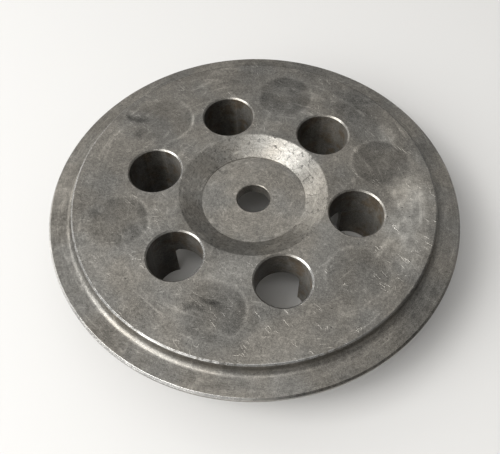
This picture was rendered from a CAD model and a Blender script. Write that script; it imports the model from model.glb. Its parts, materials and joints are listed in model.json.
import json
from math import acos, cos, hypot, inf, pi, radians, sin, sqrt, tan

import bpy
import numpy as np
from mathutils import Matrix, Vector


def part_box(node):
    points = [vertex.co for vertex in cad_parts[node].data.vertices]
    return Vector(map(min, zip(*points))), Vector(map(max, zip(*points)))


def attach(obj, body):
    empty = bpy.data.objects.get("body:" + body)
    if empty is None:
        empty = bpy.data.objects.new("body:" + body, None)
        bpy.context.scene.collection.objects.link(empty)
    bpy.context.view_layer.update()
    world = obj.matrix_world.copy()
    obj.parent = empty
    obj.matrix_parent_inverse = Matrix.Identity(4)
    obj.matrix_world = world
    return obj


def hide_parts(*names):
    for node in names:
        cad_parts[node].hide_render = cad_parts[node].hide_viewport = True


# Clutch pressure plate: one aluminium die casting, machined on its faces and in its bores.
# Metres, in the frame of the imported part: +Z up, origin under the plate's centre at the
# level of the tower feet, first spring well on +X.

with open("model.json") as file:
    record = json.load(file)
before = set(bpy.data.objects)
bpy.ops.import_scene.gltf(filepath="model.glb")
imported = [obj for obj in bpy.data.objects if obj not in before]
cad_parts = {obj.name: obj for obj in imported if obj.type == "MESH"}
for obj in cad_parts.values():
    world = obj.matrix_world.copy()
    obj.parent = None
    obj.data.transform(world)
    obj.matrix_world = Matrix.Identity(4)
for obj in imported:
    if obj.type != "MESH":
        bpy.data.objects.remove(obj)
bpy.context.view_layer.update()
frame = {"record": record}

MM = 0.001
NODE = "pressure_plate"

# ---------------------------------------------------------------- driving dimensions, mm
mounts = {m["name"]: m for m in frame["record"]["mounts"]}
low_corner, high_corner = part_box(NODE)

top_z = high_corner.z / MM
rim_radius = (high_corner.x - low_corner.x) / 2 / MM
friction_z = mounts["friction_face"]["pos_m"][2] / MM
well_count = sum(name.startswith("spring_well") for name in mounts)
well_radius = mounts["spring_well_1"]["dims"]["r_mm"]
well_pitch_radius = mounts["spring_well_1"]["pos_m"][0] / MM
rod_hole_radius = mounts["push_rod_hole"]["dims"]["r_mm"]
bearing_seat_radius = mounts["bearing_seat"]["dims"]["r_mm"]
well_spacing = 2 * pi / well_count

platform_radius = 65.9
platform_edge_break = 0.4
step_draft = radians(4)
step_foot_radius = 2.5
flange_drop = 4.6
rim_top_chamfer = 0.65
rim_bottom_chamfer = 0.5
friction_inner_radius = rim_radius - 17.0
friction_edge_chamfer = 0.5
web_thickness = 4.4
web_corner_chamfer = 1.5
well_mouth_chamfer = 0.55
well_foot_chamfer = 0.4
recess_land = 0.45
recess_wall_width = 8.0
recess_depth = 4.6
recess_edge_radius = 1.0
spot_face_depth = 0.25
rod_hole_chamfer = 0.3
bearing_seat_depth = 3.0
bearing_seat_chamfer = 0.4
hub_thickness = 12.4
cavity_inset = 4.45
cavity_corner_chamfer = 1.2
skirt_wall = 3.0
skirt_depth = 19.0
tower_wall = 3.0
tower_blend_radius = 2.5
window_width = 11.0
window_corner_radius = 4.0
hub_root_chamfer = 1.5
gusset_thickness = 3.2
gusset_drop = 8.0
gusset_ring_clearance = 0.6
mark_radius = 10.7
mark_pitch_radius = 49.3

flange_top_z = top_z - flange_drop
web_under_z = top_z - web_thickness
recess_floor_z = top_z - recess_depth
cavity_ceiling_z = top_z - hub_thickness
seat_ceiling_z = cavity_ceiling_z + bearing_seat_depth
window_top_z = top_z - skirt_depth
recess_radius = well_pitch_radius - well_radius - well_mouth_chamfer - recess_land
spot_face_radius = recess_radius - recess_wall_width
cavity_radius = well_pitch_radius - cavity_inset
skirt_radius = cavity_radius + skirt_wall
tower_radius = well_radius + tower_wall
overshoot = 1.0        # how far a cutter reaches past the face that it opens

# ---------------------------------------------------------------- mesh density
PLATE_COLUMNS = 600
WELL_COLUMNS = 96
CORE_COLUMNS = 120
CENTRE_COLUMNS = 240
TOWER_POINTS, BLEND_POINTS, SKIRT_POINTS = 44, 8, 6
CORNER_POINTS = 6      # in an arched window's corner
RECESS_EDGE_POINTS = 4
STEP_FOOT_POINTS = 8

# Spacing of the rings of points from the axis outwards, mm.
INNERMOST_RING = 2.0   # its radius, mm
FLOOR_SPACING = 1.4
WALL_SPACING = 0.6
PLATFORM_SPACING = 0.75
EDGE_SPACING = 0.3
STEP_SPACING = 0.5
FLANGE_SPACING = 0.9
RIM_SPACING = 0.7
FRICTION_SPACING = 4.0


# ---------------------------------------------------------------- profiles
def straight(start, end, spacing):
    """Points from start up to, but not at, end: start + (end - start) * k / n."""
    count = max(1, round(hypot(end[0] - start[0], end[1] - start[1]) / spacing))
    share = np.arange(count)[:, None] / count
    return np.array(start) + share * (np.array(end) - np.array(start))


def walk(stops):
    """Points along straight legs. Each stop is (radius, height, spacing): its leg runs from it up
    to, but not at, the next stop, as straight() does, and spacing None gives the stop alone."""
    legs = [straight(a[:2], b[:2], a[2] or inf) for a, b in zip(stops, stops[1:])]
    return np.vstack([*legs, [stops[-1][:2]]])


def arc(centre, radius, start_angle, end_angle, count):
    """Points on a circle, centre + radius * (cos a, sin a), for a from start up to, but not at,
    end."""
    angle = start_angle + (end_angle - start_angle) * np.arange(count) / count
    return np.array(centre) + radius * np.stack([np.cos(angle), np.sin(angle)], 1)


def rounded_corner(before, corner, after, radius, count):
    """Arc tangent to both legs of a corner, its first and last points on the legs. Its centre
    lies radius / sin(half the corner's angle) along the bisector."""
    before, corner, after = (np.array(p, float) for p in (before, corner, after))
    leg_in = (before - corner) / np.linalg.norm(before - corner)
    leg_out = (after - corner) / np.linalg.norm(after - corner)
    half = acos(float(np.clip(leg_in @ leg_out, -1, 1))) / 2
    bisector = (leg_in + leg_out) / np.linalg.norm(leg_in + leg_out)
    centre = corner + bisector * radius / sin(half)
    first, last = corner + leg_in * radius / tan(half), corner + leg_out * radius / tan(half)
    from_angle = np.arctan2(*(first - centre)[::-1])
    turn = (np.arctan2(*(last - centre)[::-1]) - from_angle + pi) % (2 * pi) - pi
    angle = from_angle + turn * np.arange(count + 1) / count
    return centre + radius * np.stack([np.cos(angle), np.sin(angle)], 1)


# ---------------------------------------------------------------- closed solids
def mesh_object(name, points_mm, faces):
    """An object at the origin whose mesh has these points, given in mm."""
    mesh = bpy.data.meshes.new(name)
    mesh.from_pydata(np.asarray(points_mm) * MM, [], faces)
    mesh.validate()
    piece = bpy.data.objects.new(name, mesh)
    bpy.context.scene.collection.objects.link(piece)
    return piece


def ring_faces(rings, columns):
    """Quads between rings of points: ring i, column j joins ring i + 1 and column j + 1,
    and the last column joins the first."""
    i = np.arange(rings - 1)[:, None]
    j = np.arange(columns)[None, :]
    beside = (j + 1) % columns
    here, above = i * columns, (i + 1) * columns
    return np.stack([here + j, here + beside, above + beside, above + j], -1).reshape(-1, 4)


def turned_solid(name, section, columns):
    """A section of (radius, height) points turned round Z: x = r cos a, y = r sin a, z = height.
    The section goes clockwise as seen with radius to the right; it begins and ends on the axis."""
    section = np.asarray(section, float)
    angle = 2 * pi * np.arange(columns) / columns
    radius, height = section[1:-1, :1], section[1:-1, 1:]
    rings = [radius * np.cos(angle), radius * np.sin(angle), np.repeat(height, columns, 1)]
    points = np.stack(rings, -1).reshape(-1, 3)
    first, last = len(points), len(points) + 1
    points = np.vstack([points, [0, 0, section[0, 1]], [0, 0, section[-1, 1]]])
    quads = ring_faces(len(radius), columns)[:, ::-1]
    j = np.arange(columns)
    beside = (j + 1) % columns
    foot = (len(radius) - 1) * columns
    head_fan = np.stack([np.full(columns, first), j, beside], 1)
    foot_fan = np.stack([foot + j, np.full(columns, last), foot + beside], 1)
    return mesh_object(name, points, quads.tolist() + head_fan.tolist() + foot_fan.tolist())


def stacked_solid(name, outlines, heights):
    """Outlines of (x, y) points, one over another at the given heights, joined by quads and
    capped."""
    columns = len(outlines[0])
    layers = [np.column_stack([o, np.full(columns, z)]) for o, z in zip(outlines, heights)]
    sides = ring_faces(len(outlines), columns).tolist()
    foot = list(range(columns))[::-1]
    head = list(range((len(outlines) - 1) * columns, len(outlines) * columns))
    return mesh_object(name, np.vstack(layers), sides + [foot, head])


def upright_solid(name, outline, half_width, plane):
    """A flat outline given thickness: (across, up) points in the plane XZ or YZ, spread by
    half_width to either side of it."""
    outline = np.array(outline, float)
    count = len(outline)
    order = [0, 1, 2] if plane == "XZ" else [1, 0, 2]
    near, far = (
        np.column_stack([outline[:, 0], np.full(count, side), outline[:, 1]])[:, order]
        for side in (-half_width, half_width)
    )
    sides = ring_faces(2, count).tolist()
    head = list(range(count, 2 * count))
    foot = list(range(count))[::-1]
    return mesh_object(name, np.vstack([near, far]), sides + [foot, head])


def turned_copy(points, angle):
    """Points turned about Z: x cos a - y sin a, x sin a + y cos a, z."""
    c, s = cos(angle), sin(angle)
    return points @ np.array([[c, s, 0], [-s, c, 0], [0, 0, 1]])


def at_wells(name, piece, start_angle=0.0):
    """One object with a copy of the piece's mesh for each well, turned by equal angles."""
    count = len(piece.data.vertices)
    points = np.empty(count * 3)
    piece.data.vertices.foreach_get("co", points)
    points = points.reshape(-1, 3) / MM
    faces = [list(p.vertices) for p in piece.data.polygons]
    copies = [turned_copy(points, start_angle + k * well_spacing) for k in range(well_count)]
    every = [[v + k * count for v in face] for k in range(well_count) for face in faces]
    bpy.data.objects.remove(piece)
    return mesh_object(name, np.vstack(copies), every)


def combine(body, other, operation):
    """The body joined with, or cut by, another closed solid, which is then removed."""
    step = body.modifiers.new(operation, "BOOLEAN")
    step.operation, step.solver, step.object = operation, "MANIFOLD", other
    result = body.evaluated_get(bpy.context.evaluated_depsgraph_get())
    mesh = bpy.data.meshes.new_from_object(result)
    body.modifiers.clear()
    body.data = mesh
    bpy.data.objects.remove(other)


# ---------------------------------------------------------------- the plate's own solids
def disc_section():
    """Half-section of the disc, clockwise from the axis: recess, platform, step, flange, rim
    and underside. Straight legs, with an arc at the recess's edge and one at the step's foot."""
    step_foot_r = platform_radius + flange_drop * tan(step_draft)
    wall_start = (spot_face_radius, recess_floor_z + spot_face_depth)
    edge = rounded_corner(
        wall_start,
        (recess_radius, top_z),
        (platform_radius, top_z),
        recess_edge_radius,
        RECESS_EDGE_POINTS,
    )
    foot = rounded_corner(
        (platform_radius, top_z),
        (step_foot_r, flange_top_z),
        (rim_radius, flange_top_z),
        step_foot_radius,
        STEP_FOOT_POINTS,
    )
    break_out = platform_edge_break * sin(step_draft)
    break_down = platform_edge_break * cos(step_draft)
    return walk([
        (0, recess_floor_z, None),
        (INNERMOST_RING, recess_floor_z, FLOOR_SPACING),
        (spot_face_radius, recess_floor_z, None),
        (*wall_start, WALL_SPACING),
        *((*point, None) for point in edge[:-1]),
        (*edge[-1], PLATFORM_SPACING),
        (platform_radius - platform_edge_break, top_z, EDGE_SPACING),
        (platform_radius + break_out, top_z - break_down, STEP_SPACING),
        *((*point, None) for point in foot[:-1]),
        (*foot[-1], FLANGE_SPACING),
        (rim_radius - rim_top_chamfer, flange_top_z, STEP_SPACING),
        (rim_radius, flange_top_z - rim_top_chamfer, RIM_SPACING),
        (rim_radius, friction_z + rim_bottom_chamfer, None),
        (rim_radius - rim_bottom_chamfer, friction_z, FRICTION_SPACING),
        (friction_inner_radius + friction_edge_chamfer, friction_z, None),
        (friction_inner_radius, friction_z + friction_edge_chamfer, None),
        (friction_inner_radius, web_under_z - web_corner_chamfer, None),
        (friction_inner_radius - web_corner_chamfer, web_under_z, None),
        (cavity_radius, web_under_z, None),
        (cavity_radius, cavity_ceiling_z - overshoot, None),
        (0, cavity_ceiling_z - overshoot, None),
    ])


def hub_outline(offset):
    """Lobed outline of skirt and towers, moved out by offset: for each well a tower arc, a blend
    arc, a skirt arc and the next tower's blend arc. A blend circle's centre is where the circle
    of skirt + blend radius round the axis meets that of tower + blend radius round the well."""
    reach_skirt = skirt_radius + tower_blend_radius
    reach_tower = tower_radius + tower_blend_radius
    squares = reach_skirt ** 2 + well_pitch_radius ** 2 - reach_tower ** 2
    across = squares / (2 * well_pitch_radius)
    blend = np.array([across, sqrt(reach_skirt ** 2 - across ** 2)])
    next_blend = (
        cos(well_spacing) * blend[0] + sin(well_spacing) * blend[1],
        sin(well_spacing) * blend[0] - cos(well_spacing) * blend[1],
    )
    blend_angle = np.arctan2(blend[1], blend[0])
    tower_angle = np.arctan2(blend[1], blend[0] - well_pitch_radius)
    blend_radius = tower_blend_radius - offset
    one = np.vstack([
        arc((well_pitch_radius, 0), tower_radius + offset, -tower_angle, tower_angle, TOWER_POINTS),
        arc(blend, blend_radius, tower_angle + pi, blend_angle + pi, BLEND_POINTS),
        arc((0, 0), skirt_radius + offset, blend_angle, well_spacing - blend_angle, SKIRT_POINTS),
        arc(
            next_blend,
            blend_radius,
            well_spacing - blend_angle + pi,
            well_spacing - tower_angle + pi,
            BLEND_POINTS,
        ),
    ])
    flat = np.column_stack([one, np.zeros(len(one))])
    return np.vstack([turned_copy(flat, k * well_spacing)[:, :2] for k in range(well_count)])


def hub_solid():
    """The hub, straight up from the tower feet, flared by the root chamfer where it meets the
    web, with a hole round the axis that the cavity's cutter opens to its full size."""
    outlines = [hub_outline(offset) for offset in (0, 0, hub_root_chamfer, hub_root_chamfer)]
    heights = [0, web_under_z - hub_root_chamfer, web_under_z, web_under_z + overshoot]
    hub = stacked_solid("hub", outlines, heights)
    core_radius = cavity_radius - cavity_corner_chamfer
    core = [
        (0, web_under_z + 2 * overshoot),
        (core_radius, web_under_z + 2 * overshoot),
        (core_radius, -overshoot),
        (0, -overshoot),
    ]
    combine(hub, turned_solid("core", core, CORE_COLUMNS), "DIFFERENCE")
    return hub


def gusset_solid():
    """Upright triangular ribs, from inside each tower's wall out into the friction ring."""
    outer = friction_inner_radius + friction_edge_chamfer
    side = [
        (well_pitch_radius, web_under_z + overshoot),
        (outer, web_under_z + overshoot),
        (outer, friction_z + gusset_ring_clearance),
        (friction_inner_radius, friction_z + gusset_ring_clearance),
        (well_pitch_radius + tower_radius, web_under_z - gusset_drop),
        (well_pitch_radius, web_under_z - gusset_drop),
    ]
    return at_wells("gussets", upright_solid("gusset", side, gusset_thickness / 2, "XZ"))


def window_solid():
    """Cutters for the arched windows through the skirt, halfway between the wells and open at
    the tower feet: an upright rectangle with a quarter circle in each upper corner."""
    half, top, radius = window_width / 2, window_top_z, window_corner_radius
    side = np.vstack([
        [(-half, -overshoot), (half, -overshoot)],
        arc((half - radius, top - radius), radius, 0, pi / 2, CORNER_POINTS),
        arc((radius - half, top - radius), radius, pi / 2, pi, CORNER_POINTS),
        [(-half, top - radius)],
    ])
    reach = skirt_radius + overshoot
    piece = upright_solid("window", side, reach / 2, "YZ")
    piece.data.transform(Matrix.Translation((reach / 2 * MM, 0, 0)))
    return at_wells("windows", piece, well_spacing / 2)


def centre_solid():
    """Cutter for the hub's cavity, the bearing seat in its ceiling and the push-rod hole."""
    section = [
        (0, recess_floor_z + overshoot),
        (rod_hole_radius + rod_hole_chamfer + overshoot, recess_floor_z + overshoot),
        (rod_hole_radius, recess_floor_z - rod_hole_chamfer),
        (rod_hole_radius, seat_ceiling_z + rod_hole_chamfer),
        (rod_hole_radius + rod_hole_chamfer, seat_ceiling_z),
        (bearing_seat_radius, seat_ceiling_z),
        (bearing_seat_radius, cavity_ceiling_z + bearing_seat_chamfer),
        (bearing_seat_radius + bearing_seat_chamfer, cavity_ceiling_z),
        (cavity_radius - cavity_corner_chamfer, cavity_ceiling_z),
        (cavity_radius, cavity_ceiling_z - cavity_corner_chamfer),
        (cavity_radius, -overshoot),
        (0, -overshoot),
    ]
    return turned_solid("centre", section, CENTRE_COLUMNS)


def well_solid():
    """Cutters for the spring wells, flared at mouth and foot."""
    section = [
        (0, top_z + overshoot),
        (well_radius + well_mouth_chamfer + overshoot, top_z + overshoot),
        (well_radius, top_z - well_mouth_chamfer),
        (well_radius, cavity_ceiling_z),
        (well_radius, well_foot_chamfer),
        (well_radius + well_foot_chamfer + overshoot, -overshoot),
        (0, -overshoot),
    ]
    piece = turned_solid("well", section, WELL_COLUMNS)
    piece.data.transform(Matrix.Translation((well_pitch_radius * MM, 0, 0)))
    return at_wells("wells", piece)


def plate_piece():
    """The whole casting as one closed mesh."""
    body = turned_solid("plate", disc_section(), PLATE_COLUMNS)
    combine(body, hub_solid(), "UNION")
    combine(body, gusset_solid(), "UNION")
    combine(body, centre_solid(), "DIFFERENCE")
    combine(body, window_solid(), "DIFFERENCE")
    combine(body, well_solid(), "DIFFERENCE")
    return body


# ---------------------------------------------------------------- wear, worked into the mesh
camera_azimuth = radians(16.56)

# Witness marks of the die: degrees round, how dark inside, how deep in mm, and the side and
# strength of the pale line along the edge.
MARKS = [
    (73.4, 0.17, 0.06, 10, 0.08),
    (133.4, 0.05, 0.08, -25, 0.26),
    (193.4, 0.14, 0.09, 0, 0.14),
    (253.4, 0.11, 0.09, 0, 0.14),
    (313.4, 0.05, 0.06, 140, 0.16),
    (13.4, 0.12, 0.08, 165, 0.22),
]

# Smears and stains: radius, degrees round, size along and across in mm, turn in degrees, and
# strength, positive where paler.
STAINS = [
    (57, -14, 18, 7, 74, 0.28),
    (56, -2, 7, 6, 80, 0.28),
    (51, -24, 8, 7, 50, 0.20),
    (60, -31, 8, 3, 60, 0.10),
    (61, 2, 3, 12, 0, 0.06),
    (52, 14, 5, 1.6, 75, 0.14),
    (58, 25, 6, 2.5, -65, 0.20),
    (57, 50, 7, 1.6, -38, 0.14),
    (53, 62, 5, 1.5, -20, 0.14),
    (52, 75, 5, 1.8, -10, 0.13),
    (43, 122, 5, 1.8, 75, 0.15),
    (36, 80, 7, 1.5, 75, 0.13),
    (35, -165, 8, 6, 60, 0.08),
    (33, -105, 9, 5, 0, 0.08),
    (38, -128, 8, 2.5, 50, 0.08),
    (57, -120, 9, 4, 40, 0.06),
    (53, -88, 6, 2, 60, 0.08),
    (57, -60, 9, 2.5, 40, 0.09),
    (60, -48, 7, 2, 45, 0.05),
    (61, 128, 10, 2.5, 40, 0.05),
    (58, 141, 4.5, 1.8, -25, -0.34),
    (53, 146, 3, 2.5, -30, -0.18),
    (55, 43, 14, 9, -50, -0.16),
    (46, 24, 9, 5, -65, -0.08),
    (37, 64, 6, 5, 0, -0.07),
    (47, -108, 5, 1.3, -25, -0.26),
    (50, -114, 3, 1.1, -25, -0.20),
    (49, 74, 4, 1.2, 10, 0.10),
    (13, -8, 7, 13, 0, 0.07),
    (18, 136, 4, 0.7, 45, -0.22),
    (15, -45, 4, 0.5, 35, -0.12),
    (56, 105, 12, 3, 15, -0.05),
    (58, 90, 14, 4, 0, -0.04),
    (72, -42, 20, 6, 48, -0.10),
    (72, -15, 12, 5, 75, -0.08),
    (72, 82, 20, 4, -8, -0.10),
    (72, 176, 14, 5, 86, 0.10),
    (71, -130, 12, 3, -40, -0.07),
    (72, -100, 6, 2, -10, -0.06),
]

# Nicks along an edge: seed, number, widest in radians, deepest in mm, first and last angle.
PLATFORM_NICKS = (31, 34, 0.009, 0.13, -1.7, 3.3)
RIM_NICKS = (33, 22, 0.008, 0.10, -1.5, 3.1)

WAVES = 24             # in a random field
WAVINESS = 0.012       # of the platform, mm
TONE_DRIFT = 0.05      # slow change of tone across the casting


def on_plate(radius, degrees):
    """A point (x, y) at a radius, degrees round from the right-hand side as the camera sees it."""
    angle = radians(degrees) + camera_azimuth
    return np.array([radius * cos(angle), radius * sin(angle)])


def ease(t):
    """0 below 0, 1 above 1, and 3t^2 - 2t^3 between."""
    t = np.clip(t, 0, 1)
    return t * t * (3 - 2 * t)


def cloud(points, size, seed):
    """A smooth random field over (x, y), about -1 to 1: the sum of waves of random direction,
    phase and length near size, divided by the root of their number."""
    draw = np.random.default_rng(seed)
    angle, phase = draw.uniform(0, 2 * pi, (2, WAVES))
    number = 2 * pi / (size * draw.uniform(0.7, 1.9, WAVES))
    along = points[:, :1] * np.cos(angle) + points[:, 1:2] * np.sin(angle)
    return np.sin(along * number + phase).sum(1) / sqrt(WAVES)


def mark_fields(points):
    """The marks' darkening, their depth in mm and their pale lines. Inside and depth rise with
    ease() inwards across the edge; a line is a bell exp(-(distance from the edge / 0.45)^2)."""
    dark, depth, line = (np.zeros(len(points)) for _ in range(3))
    uneven = cloud(points, size=7, seed=3)
    for degrees, darkness, drop, side, strength in MARKS:
        out = points - on_plate(mark_pitch_radius, degrees)
        distance = np.hypot(out[:, 0], out[:, 1])
        inside = ease((mark_radius + 0.4 + 0.4 * uneven - distance) / 1.8)
        dark += darkness * inside * (1 + 0.2 * uneven)
        depth += drop * ease((mark_radius + 0.5 - distance) / 1.0)
        toward = np.cos(np.arctan2(out[:, 1], out[:, 0]) - radians(side) - camera_azimuth)
        ring = np.exp(-(((distance - mark_radius - 0.3) / 0.45) ** 2))
        line += strength * ring * ease((toward + 0.2) / 1.1) * (0.75 + 0.5 * uneven)
    return dark, depth, line


def stain_field(points):
    """Paler and darker smears: turned bells exp(-(u^2 + v^2)^1.5), with u and v the distances
    along and across over the sizes, and their edges pushed about by a random field."""
    total = np.zeros(len(points))
    push = np.column_stack([cloud(points, size=6, seed=11), cloud(points, size=6, seed=12)]) * 1.2
    for radius, degrees, along, across, turn, strength in STAINS:
        angle = radians(turn) + camera_azimuth
        out = points + push - on_plate(radius, degrees)
        u = (out[:, 0] * cos(angle) + out[:, 1] * sin(angle)) / along
        v = (out[:, 1] * cos(angle) - out[:, 0] * sin(angle)) / across
        total += strength * np.exp(-((u * u + v * v) ** 1.5))
    return total * (1 + 0.22 * cloud(points, size=3.5, seed=13))


def nick_field(angle, seed, count, reach, depth, low, high):
    """Dents along an edge, by angle round the plate from low to high: the sum of narrow bells
    drop * exp(-(angle off / width)^2) of random place, width and drop."""
    draw = np.random.default_rng(seed)
    places = draw.uniform(low, high, count)
    widths = draw.uniform(0.4, 1, count) * reach
    drops = draw.uniform(0.3, 1, count) * depth
    total = np.zeros(len(angle))
    for place, width, drop in zip(places, widths, drops):
        off = (angle - place + pi) % (2 * pi) - pi
        total += drop * np.exp(-((off / width) ** 2))
    return total


def near_circle(radius, height, circle_radius, circle_z, spread):
    """1 on a circle round the axis, falling away as exp(-distance^2 / spread)."""
    return np.exp(-(((radius - circle_radius) ** 2 + (height - circle_z) ** 2) / spread))


def platform_sink(flat, radius, angle, depth):
    """How far the platform lies below its plane: the marks' depth and a slight waviness, which
    fade out beside the platform's edge and the wells' mouths."""
    fold = (angle + well_spacing / 2) % well_spacing - well_spacing / 2
    from_well = np.hypot(radius * np.cos(fold) - well_pitch_radius, radius * np.sin(fold))
    clear_of_wells = ease((from_well - well_radius - well_mouth_chamfer - 0.05) / 1.0)
    clear_of_edges = ease((platform_radius - 0.6 - radius) / 1.5)
    waves = WAVINESS * np.maximum(1 + cloud(flat, size=9, seed=21), 0)
    return (depth + waves) * clear_of_edges * clear_of_wells


def wear_plate(mesh):
    """Sinks the marks, makes the platform slightly wavy, nicks two edges inwards and down, and
    writes the attribute "tone": the change of brightness that smears and marks bring."""
    co = np.empty(len(mesh.vertices) * 3)
    mesh.vertices.foreach_get("co", co)
    co = co.reshape(-1, 3) / MM
    flat, height = co[:, :2], co[:, 2]
    radius, angle = np.hypot(flat[:, 0], flat[:, 1]), np.arctan2(flat[:, 1], flat[:, 0])

    dark, depth, line = mark_fields(flat)
    tone = np.where(height > flange_top_z - 0.01, stain_field(flat) + line - dark, 0.0)
    tone += TONE_DRIFT * cloud(flat, size=30, seed=5)

    on_platform = (height > top_z - 0.01) & (radius > recess_radius + 0.5)
    height -= np.where(on_platform, platform_sink(flat, radius, angle, depth), 0.0)
    nicks = nick_field(angle, *PLATFORM_NICKS)
    nicks *= near_circle(radius, height, platform_radius, top_z - 0.2, 0.35)
    rim_nicks = nick_field(angle, *RIM_NICKS)
    rim_nicks *= near_circle(radius, height, rim_radius, flange_top_z - 0.3, 0.4)
    dent = nicks + rim_nicks
    flat -= flat * (dent / np.maximum(radius, 1))[:, None]
    height -= 0.7 * dent

    mesh.vertices.foreach_set("co", (co * MM).ravel())
    layer = mesh.attributes.new("tone", "FLOAT", "POINT")
    layer.data.foreach_set("value", tone.astype(np.float32))
    mesh.update()


# ---------------------------------------------------------------- material
class Recipe:
    """Short ways to add shader nodes. Lengths in the shader are millimetres, from Object
    coordinates. A value is another node's output, or a number or tuple set on the socket."""

    def __init__(self, name):
        self.material = bpy.data.materials.new(name)
        self.material.use_nodes = True
        self.tree = self.material.node_tree
        self.shader = self.tree.nodes["Principled BSDF"]
        place = self.tree.nodes.new("ShaderNodeTexCoord").outputs["Object"]
        self.place = self.vector("SCALE", place, scale=1 / MM)

    def plug(self, socket, value):
        """Links a node's output to the socket, or sets the socket to a constant."""
        if isinstance(value, bpy.types.NodeSocket):
            self.tree.links.new(value, socket)
        elif value is not None:
            socket.default_value = value

    def vector(self, operation, a, b=None, scale=None):
        """A vector operation; a length, distance or dot product gives a number."""
        node = self.tree.nodes.new("ShaderNodeVectorMath")
        node.operation = operation
        self.plug(node.inputs[0], a)
        self.plug(node.inputs[1], b)
        if operation == "SCALE":
            self.plug(node.inputs["Scale"], scale)
        return node.outputs["Value" if operation in ("LENGTH", "DOT_PRODUCT") else "Vector"]

    def math(self, operation, a, b=None, c=None, clamp=False):
        """An operation on numbers, held between 0 and 1 if clamped."""
        node = self.tree.nodes.new("ShaderNodeMath")
        node.operation, node.use_clamp = operation, clamp
        for socket, value in zip(node.inputs, (a, b, c)):
            self.plug(socket, value)
        return node.outputs[0]

    def combine(self, x, y, z):
        """A vector from three numbers."""
        node = self.tree.nodes.new("ShaderNodeCombineXYZ")
        for socket, value in zip(node.inputs, (x, y, z)):
            self.plug(socket, value)
        return node.outputs[0]

    def parts(self, vector):
        """A vector's three numbers."""
        node = self.tree.nodes.new("ShaderNodeSeparateXYZ")
        self.plug(node.inputs[0], vector)
        return node.outputs

    def middle(self, value):
        """A noise with its middle moved to 0."""
        return self.math("SUBTRACT", value, 0.5)

    def noise_node(self, where, size, detail):
        """A noise texture read at where."""
        node = self.tree.nodes.new("ShaderNodeTexNoise")
        self.plug(node.inputs["Vector"], where)
        node.inputs["Scale"].default_value = 1 / size
        node.inputs["Detail"].default_value = detail
        return node

    def noise(self, where, size, detail=2.0, roughness=0.5, distortion=0.0):
        """Noise, 0 to 1 about 0.5, whose lumps are about size long in the units of where."""
        node = self.noise_node(where, size, detail)
        node.inputs["Roughness"].default_value = roughness
        node.inputs["Distortion"].default_value = distortion
        return node.outputs["Fac"]

    def colour_noise(self, where, size):
        """Three independent noises at once, each 0 to 1."""
        return self.noise_node(where, size, 1.0).outputs["Color"]

    def cell_node(self, where, size):
        """A pattern of cells about size wide, read at where."""
        node = self.tree.nodes.new("ShaderNodeTexVoronoi")
        self.plug(node.inputs["Vector"], where)
        node.inputs["Scale"].default_value = 1 / size
        return node

    def cells(self, where, size):
        """Distance to the nearest scattered point, in cells, and that cell's random colour."""
        node = self.cell_node(where, size)
        return node.outputs["Distance"], node.outputs["Color"]

    def cell_edges(self, where, size):
        """Distance to the border between two cells, in cells."""
        node = self.cell_node(where, size)
        node.feature = "DISTANCE_TO_EDGE"
        return node.outputs["Distance"]

    def span(self, value, low, high, to_low=0.0, to_high=1.0):
        """to_low up to low, to_high from high on, and a smooth step between."""
        node = self.tree.nodes.new("ShaderNodeMapRange")
        node.interpolation_type = "SMOOTHSTEP"
        self.plug(node.inputs["Value"], value)
        limits = ("From Min", low), ("From Max", high), ("To Min", to_low), ("To Max", to_high)
        for name, number in limits:
            self.plug(node.inputs[name], number)
        return node.outputs[0]

    def below(self, value, low, high):
        """1 up to low, 0 from high on."""
        return self.span(value, low, high, 1.0, 0.0)

    def band(self, value, low, high, soft):
        """1 between low and high, falling to 0 over soft on either side."""
        rise = self.span(value, low - soft, low)
        return self.math("MULTIPLY", rise, self.below(value, high, high + soft))

    def every(self, *masks):
        """Product of the masks: 1 only where all of them are."""
        product = masks[0]
        for mask in masks[1:]:
            product = self.math("MULTIPLY", product, mask)
        return product

    def total(self, *parts):
        """Sum of (value, weight) pairs; a pair with no value adds its weight."""
        amount = 0.0
        for value, weight in parts:
            if value is None:
                amount = self.math("ADD", amount, weight)
            else:
                amount = self.math("MULTIPLY_ADD", value, weight, amount)
        return amount

    def mix(self, share, a, b):
        """Colour a, with a share of colour b."""
        node = self.tree.nodes.new("ShaderNodeMix")
        node.data_type = "RGBA"
        self.plug(node.inputs["Factor"], share)
        self.plug(node.inputs[6], a)
        self.plug(node.inputs[7], b)
        return node.outputs[2]

    def attribute(self, name):
        """A number stored on the mesh's points."""
        node = self.tree.nodes.new("ShaderNodeAttribute")
        node.attribute_name = name
        return node.outputs["Fac"]

    def streaks(self, degrees, along, across, shift):
        """Short straight scratches in one direction: noise stretched to along by across above
        a threshold, in patches of a wider noise."""
        node = self.tree.nodes.new("ShaderNodeMapping")
        node.inputs["Location"].default_value = (shift, shift * 0.7, 0)
        node.inputs["Rotation"].default_value = (0, 0, radians(degrees))
        self.plug(node.inputs["Vector"], self.place)
        stretched = self.vector("MULTIPLY", node.outputs[0], (1 / along, 1 / across, 0.02))
        line = self.span(self.noise(stretched, size=1, detail=0.0), 0.745, 0.80)
        patch = self.span(self.noise(node.outputs[0], size=7.0, detail=1.0), 0.54, 0.66)
        return self.math("MULTIPLY", line, patch)


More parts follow.
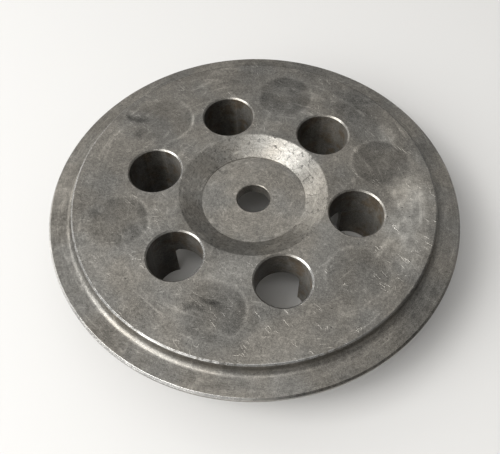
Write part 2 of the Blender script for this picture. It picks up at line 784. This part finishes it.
class PlateRecipe(Recipe):
    """A recipe that knows this plate: coordinates round its axis and its wells, in mm, and a
    mask from 0 to 1 for each face and edge, soft over some tenths of a millimetre."""

    def __init__(self, name):
        super().__init__(name)
        x, y, self.z = self.parts(self.place)
        self.flat = self.combine(x, y, 0.0)
        self.radius = self.vector("LENGTH", self.flat)
        self.outward = self.vector("NORMALIZE", self.flat)
        self.find_wells(self.math("ARCTAN2", y, x))
        self.find_faces()
        self.find_edges()

    def find_wells(self, angle):
        """Distance from the nearest well's axis, and -1 to 1 across that well, left to right as
        the camera sees it."""
        fold = self.math("WRAP", angle, well_spacing / 2, -well_spacing / 2)
        cosine, sine = self.math("COSINE", fold), self.math("SINE", fold)
        along = self.math("MULTIPLY_ADD", self.radius, cosine, -well_pitch_radius)
        across = self.math("MULTIPLY", self.radius, sine)
        self.from_well = self.vector("LENGTH", self.combine(along, across, 0.0))
        own = self.math("SUBTRACT", angle, fold)
        own_way = self.combine(self.math("COSINE", own), self.math("SINE", own), 0.0)
        centre = self.vector("SCALE", own_way, scale=well_pitch_radius)
        off_centre = self.vector("SUBTRACT", self.flat, centre)
        to_right = (*on_plate(1 / well_radius, -5), 0.0)
        self.well_side = self.vector("DOT_PRODUCT", off_centre, to_right)

    def find_faces(self):
        """The recess, the wells, the hub's inside, and how strongly each face was turned."""
        radius, z = self.radius, self.z
        upper_side = self.span(z, recess_floor_z - 0.4, recess_floor_z - 0.2)
        underside = self.below(z, friction_z + 0.2, friction_z + 0.9)
        under_recess = self.below(z, recess_floor_z - 1.0, recess_floor_z - 0.8)
        self.recess_wall = self.every(
            self.band(radius, spot_face_radius + 0.15, recess_radius - 0.3, 0.3), upper_side
        )
        self.recess_floor = self.every(
            self.below(radius, spot_face_radius - 0.1, spot_face_radius + 0.05), upper_side
        )
        self.in_well = self.below(self.from_well, well_radius + 0.01, well_radius + 0.06)
        self.inside_hub = self.math("MAXIMUM", self.in_well, under_recess)
        beside_step = self.every(
            self.span(radius, platform_radius - 0.05, platform_radius + 0.15),
            self.span(z, friction_z + 0.2, friction_z + 0.6),
        )
        friction = self.every(self.band(radius, friction_inner_radius, rim_radius, 0.3), underside)
        self.turned_face = self.total(
            (self.recess_wall, 1.0), (self.recess_floor, 0.8), (beside_step, 0.5), (friction, 1.0)
        )

    def find_edges(self):
        """Which way the plate was rubbed, 1 at the front left and -1 opposite, and its edges.
        The far wells' mouths count less."""
        radius, z = self.radius, self.z
        break_start = platform_radius - platform_edge_break
        mouth_end = well_radius + well_mouth_chamfer
        self.rubbed = self.vector("DOT_PRODUCT", self.outward, (*on_plate(1.0, -135), 0.0))
        self.platform_edge = self.every(
            self.band(radius, break_start - 0.12, platform_radius + 0.12, 0.12),
            self.span(z, top_z - 0.65, top_z - 0.5),
        )
        self.rim_edge = self.every(
            self.span(radius, rim_radius - rim_top_chamfer - 0.1, rim_radius - rim_top_chamfer),
            self.span(z, flange_top_z - 1.0, flange_top_z - 0.8),
        )
        self.well_mouth = self.every(
            self.band(self.from_well, well_radius + 0.05, mouth_end + 0.02, 0.05),
            self.span(z, top_z - well_mouth_chamfer - 0.1, top_z - well_mouth_chamfer),
            self.span(self.rubbed, -0.45, 0.45, 0.35, 1.0),
        )


# Colours before the tone is applied, and how the tone counts: as it shows on screen, so it
# is raised to a power to become a share of reflected light.
WARM_ALUMINIUM = (0.230, 0.214, 0.187, 1)
COOL_ALUMINIUM = (0.214, 0.206, 0.188, 1)
BARE_ALUMINIUM = (0.213, 0.211, 0.205, 1)
WELL_STAIN = (0.165, 0.128, 0.088, 1)
SCREEN_POWER = 2.2
LEAST_TONE = 0.1

# Scratches: degrees, length in mm, and a shift that keeps their patches apart.
SCRATCHES = [(24, 3.8, 0.0), (-18, 3.2, 31.0), (71, 2.4, 57.0), (38, 4.4, 83.0)]
SCRATCH_WIDTH = 0.20


def scratch_mask(k):
    """Short bright lines in a few directions on the platform, gathered in patches."""
    scratch = None
    for degrees, length, shift in SCRATCHES:
        line = k.streaks(degrees, length, SCRATCH_WIDTH, shift)
        scratch = line if scratch is None else k.math("MAXIMUM", scratch, line)
    return k.every(scratch, k.span(k.z, top_z - 0.4, top_z - 0.2))


def pit_mask(k):
    """Small dark dots scattered thinly: the middles of some of the cells."""
    spot, which = k.cells(k.place, size=3.8)
    return k.every(k.below(spot, 0.04, 0.09), k.span(k.parts(which)[0], 0.58, 0.62))


def crackle_mask(k):
    """Dark hairlines on the recess wall, mostly on its far side: borders of bent cells."""
    bend = k.vector("SCALE", k.colour_noise(k.place, size=2.4), scale=2.4)
    bent = k.vector("ADD", k.place, bend)
    return k.every(
        k.below(k.cell_edges(bent, size=3.4), 0.012, 0.04),
        k.span(k.noise(k.place, size=3.0), 0.48, 0.58),
        k.span(k.rubbed, -0.7, 0.4, 1.0, 0.15),
        k.recess_wall,
    )


def cast_aluminium():
    """Dull grey die casting with machined faces: stained, finely speckled, scratched, and bright
    on the edges where it was rubbed."""
    k = PlateRecipe("cast_aluminium")

    # the skin: grain, speckle, clouds, and the streaks of a lathe tool where it was turned
    grain = k.noise(k.place, size=0.34, roughness=0.6)
    speckle = k.noise(k.place, size=1.0, roughness=0.6)
    mottle = k.noise(k.place, size=3.4, detail=3.0, roughness=0.6, distortion=0.8)
    clouds = k.noise(k.place, size=10.0, detail=3.0, roughness=0.55, distortion=0.5)
    veil = k.noise(k.place, size=6.0, detail=4.0, roughness=0.62, distortion=1.6)
    haze = k.span(veil, 0.50, 0.74)
    tint = k.noise(k.place, size=17.0)
    round_it = k.vector("SCALE", k.outward, scale=10.0)
    down = k.math("MULTIPLY_ADD", k.radius, 2.2, k.math("MULTIPLY", k.z, 2.0))
    turned = k.vector("ADD", round_it, k.combine(0.0, 0.0, down))
    streak = k.noise(turned, size=1.0, roughness=0.6)
    rings = k.noise(k.combine(k.radius, k.z, 0.0), size=0.33, detail=3.0, roughness=0.7)
    outwards = k.combine(0.0, 0.0, k.math("MULTIPLY", k.radius, 0.42))
    swept = k.vector("ADD", k.vector("SCALE", round_it, scale=0.4), outwards)
    wipe = k.noise(swept, size=1.0, detail=4.0, roughness=0.6, distortion=0.7)
    scratch, pit, hairline = scratch_mask(k), pit_mask(k), crackle_mask(k)

    # edges: bright where the left and front corners are rubbed, dull and dark on the far side
    broken = k.span(k.noise(k.place, size=1.8), 0.26, 0.50)
    worn_platform = k.every(k.platform_edge, broken, k.span(k.rubbed, -0.3, 0.6))
    worn_rim = k.every(k.rim_edge, k.span(k.rubbed, 0.55, 0.85))
    worn_mouth = k.every(k.well_mouth, k.span(k.well_side, 0.0, 0.8, 0.15, 1.0))
    dull_platform = k.every(k.platform_edge, k.below(k.rubbed, -0.1, 0.55))
    dull_rim = k.every(k.rim_edge, k.below(k.rubbed, 0.5, 0.8))
    worn = k.math("MAXIMUM", worn_platform, worn_rim)
    bright = k.math("MAXIMUM", worn, worn_mouth)
    unworn = k.math("MULTIPLY_ADD", worn, -0.95, 1.0)

    tone = k.total(
        (k.every(k.middle(grain), unworn), 0.76),
        (k.every(k.middle(speckle), unworn), 0.42),
        (k.middle(mottle), 0.24),
        (k.middle(clouds), 0.16),
        (haze, 0.12),
        (k.middle(wipe), 0.16),
        (k.span(wipe, 0.56, 0.72), 0.16),
        (k.attribute("tone"), 1.0),
        (k.every(k.middle(streak), k.turned_face), 0.55),
        (scratch, 0.36),
        (bright, 0.38),
        (k.every(k.well_mouth, k.span(k.well_side, 0.5, 1.0)), 0.25),
        (worn_rim, 0.28),
        (dull_platform, -0.26),
        (dull_rim, -0.20),
        (k.recess_wall, 0.09),
        (k.recess_floor, 0.07),
        (hairline, -0.45),
        (k.every(k.in_well, k.span(k.well_side, -0.7, 0.7, -0.30, 0.24)), 1.0),
        (k.every(k.in_well, k.below(k.z, 6.0, top_z - 6.0)), -0.16),
        (None, 0.975),
    )
    tone = k.every(tone, k.math("MULTIPLY_ADD", pit, -0.35, 1.0))
    tone = k.math("POWER", k.math("MAXIMUM", tone, LEAST_TONE), SCREEN_POWER)
    shade = k.mix(k.span(tint, 0.35, 0.65), WARM_ALUMINIUM, COOL_ALUMINIUM)
    patches = k.noise(k.place, size=5.0, detail=3.0, roughness=0.6)
    stain = k.every(k.in_well, k.span(patches, 0.45, 0.65))
    shade = k.mix(k.math("MULTIPLY", stain, 0.8), shade, WELL_STAIN)
    shade = k.mix(k.math("MULTIPLY", bright, 0.8), shade, BARE_ALUMINIUM)
    k.plug(k.shader.inputs["Base Color"], k.vector("SCALE", shade, scale=tone))
    k.plug(k.shader.inputs["Metallic"], k.math("MULTIPLY_ADD", k.inside_hub, -0.1, 0.85))

    rough = k.total(
        (k.middle(mottle), 0.16),
        (k.middle(speckle), 0.20),
        (k.recess_wall, -0.09),
        (bright, -0.14),
        (scratch, -0.10),
        (k.inside_hub, 0.03),
    )
    k.plug(k.shader.inputs["Roughness"], k.math("ADD", rough, 0.39, clamp=True))

    height = k.total(
        (grain, 0.012),
        (speckle, 0.026),
        (mottle, 0.04),
        (scratch, -0.03),
        (pit, -0.08),
        (k.every(rings, k.turned_face), 0.02),
    )
    bump = k.tree.nodes.new("ShaderNodeBump")
    bump.inputs["Distance"].default_value = MM
    k.plug(bump.inputs["Height"], k.every(height, unworn))
    k.plug(k.shader.inputs["Normal"], bump.outputs[0])
    return k.material


# ---------------------------------------------------------------- the visible piece
SHARPEST_SMOOTH_ANGLE = radians(25)

plate = plate_piece()
wear_plate(plate.data)
plate.data.polygons.foreach_set("use_smooth", np.ones(len(plate.data.polygons), bool))
plate.data.set_sharp_from_angle(angle=SHARPEST_SMOOTH_ANGLE)
plate.data.materials.clear()
plate.data.materials.append(cast_aluminium())
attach(plate, "root")
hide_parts(NODE)

# ---------------------------------------------------------------- camera
camera_elevation = radians(57.37)
camera_roll = radians(-1.64)
camera_distance = 209.93 * MM
camera_aim = Vector((2.91, -15.42, top_z)) * MM
sensor_width = 36.0
lens = 43.24


def studio_camera():
    """A camera at an azimuth, elevation and distance from the point that it aims at, rolled
    about its own axis."""
    back = Vector((
        sin(camera_azimuth) * cos(camera_elevation),
        -cos(camera_azimuth) * cos(camera_elevation),
        sin(camera_elevation),
    ))
    data = bpy.data.cameras.new("camera")
    data.lens, data.sensor_width = lens, sensor_width
    data.clip_start, data.clip_end = 0.01, 10
    camera = bpy.data.objects.new("camera", data)
    camera.rotation_mode = "QUATERNION"
    turn = (-back).to_track_quat("-Z", "Y")
    camera.rotation_quaternion = turn @ Matrix.Rotation(camera_roll, 3, "Z").to_quaternion()
    camera.location = camera_aim + back * camera_distance
    bpy.context.scene.collection.objects.link(camera)
    bpy.context.scene.camera = camera


# ---------------------------------------------------------------- floor and light
FLOOR_COLOUR = (0.69, 0.68, 0.66, 1)
FLOOR_ROUGHNESS = 0.8
FLOOR_REACH = 2.0      # from the middle to a side, metres
ROOM_LEVEL = 0.24
LAMP_DISTANCE = 1.2    # metres

# Lamps: name, degrees round and up, width in metres, watts.
LAMPS = [
    ("left_wide", 205, 35, 0.8, 10.0),
    ("left_high", 195, 54, 0.5, 5.1),
    ("front_high", 227, 62, 0.5, 2.1),
    ("front_low", 238, 28, 0.4, 1.2),
    ("back_left", 150, 38, 0.5, 1.7),
    ("overhead", 0, 90, 1.0, 1.2),
    ("back_high", 90, 57, 0.8, 1.1),
    ("back_low", 128, 18, 0.6, 1.3),
    ("back_right", 30, 40, 0.6, 0.3),
    ("front_top", 277, 65, 0.5, 0.6),
]


def pale_floor():
    """A plain pale material that lets a camera under the floor see through it."""
    material = bpy.data.materials.new("pale_floor")
    material.use_nodes = True
    tree = material.node_tree
    shader = tree.nodes["Principled BSDF"]
    shader.inputs["Base Color"].default_value = FLOOR_COLOUR
    shader.inputs["Roughness"].default_value = FLOOR_ROUGHNESS
    clear = tree.nodes.new("ShaderNodeBsdfTransparent")
    mixer = tree.nodes.new("ShaderNodeMixShader")
    side = tree.nodes.new("ShaderNodeNewGeometry")
    tree.links.new(side.outputs["Backfacing"], mixer.inputs[0])
    tree.links.new(shader.outputs[0], mixer.inputs[1])
    tree.links.new(clear.outputs[0], mixer.inputs[2])
    tree.links.new(mixer.outputs[0], tree.nodes["Material Output"].inputs["Surface"])
    return material


def floor():
    """A square floor under the tower feet, one quad facing up."""
    mesh = bpy.data.meshes.new("floor")
    corners = [(-1, -1, 0), (1, -1, 0), (1, 1, 0), (-1, 1, 0)]
    mesh.from_pydata(np.array(corners, float) * FLOOR_REACH, [], [(0, 1, 2, 3)])
    piece = bpy.data.objects.new("floor", mesh)
    bpy.context.scene.collection.objects.link(piece)
    mesh.materials.append(pale_floor())


def room(level):
    """A plain white world at an even strength."""
    world = bpy.data.worlds.new("room")
    world.use_nodes = True
    background = world.node_tree.nodes["Background"]
    background.inputs["Color"].default_value = (1, 1, 1, 1)
    background.inputs["Strength"].default_value = level
    bpy.context.scene.world = world


def from_camera(degrees, height):
    """A direction, by degrees round from the camera's right-hand side and degrees above the
    floor."""
    round_it = radians(degrees) + camera_azimuth
    up = radians(height)
    return cos(round_it) * cos(up), sin(round_it) * cos(up), sin(up)


def area_lamp(name, direction, size, power):
    """A square soft lamp in a direction from the plate, facing it."""
    data = bpy.data.lights.new(name, "AREA")
    data.size, data.energy = size, power
    lamp = bpy.data.objects.new(name, data)
    toward = Vector(direction).normalized()
    lamp.location = toward * LAMP_DISTANCE
    lamp.rotation_mode = "QUATERNION"
    lamp.rotation_quaternion = toward.to_track_quat("Z", "Y")
    bpy.context.scene.collection.objects.link(lamp)


studio_camera()
floor()
room(ROOM_LEVEL)
for name, degrees, height, size, power in LAMPS:
    area_lamp(name, from_camera(degrees, height), size, power)
bpy.context.scene.view_settings.view_transform = "Standard"
